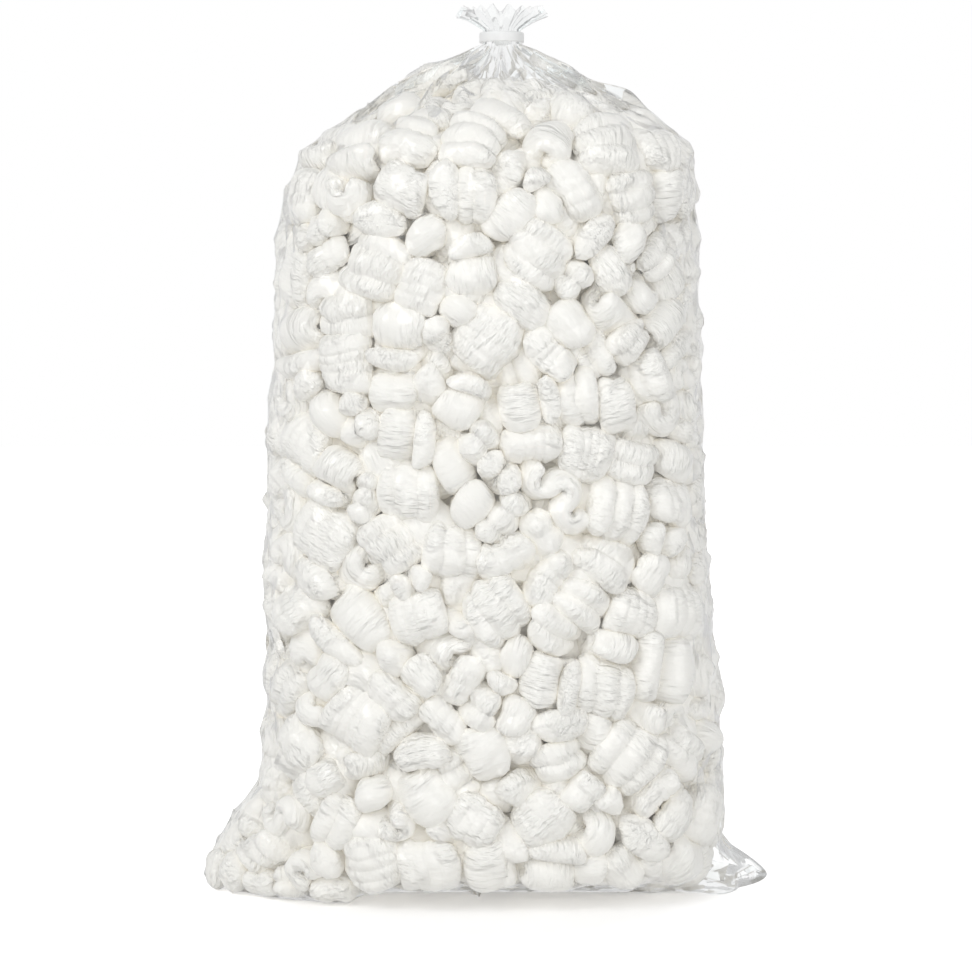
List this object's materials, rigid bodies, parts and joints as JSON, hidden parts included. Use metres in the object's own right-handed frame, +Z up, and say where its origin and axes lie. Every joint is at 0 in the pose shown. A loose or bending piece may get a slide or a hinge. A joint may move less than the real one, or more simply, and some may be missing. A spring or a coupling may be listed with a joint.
{
  "type": "bag of polystyrene packing chips",
  "caption": "Clear film bag, gathered and tied at the neck, full of white S-shaped polystyrene chips used as loose fill to cushion goods in a box.",
  "frame": {"origin": "on the floor, midway between the tips of the two bottom ears and midway through the bag's depth", "axes": "+Z up to the tied neck, +X to the right as seen from the front, +Y to the back, so the front faces -Y"},
  "size_m": [0.2846, 0.164, 0.444],
  "materials": {
    "clear_film": "clear, glossy, finely wrinkled film",
    "foam_chips": "matt white foam with a fine wrinkled skin",
    "tie_band": "semi-gloss white band"
  },
  "bodies": {
    "root": {"film_bag": "clear_film", "chip_fill": "foam_chips", "neck_tie": "tie_band"}
  },
  "joints": []
}
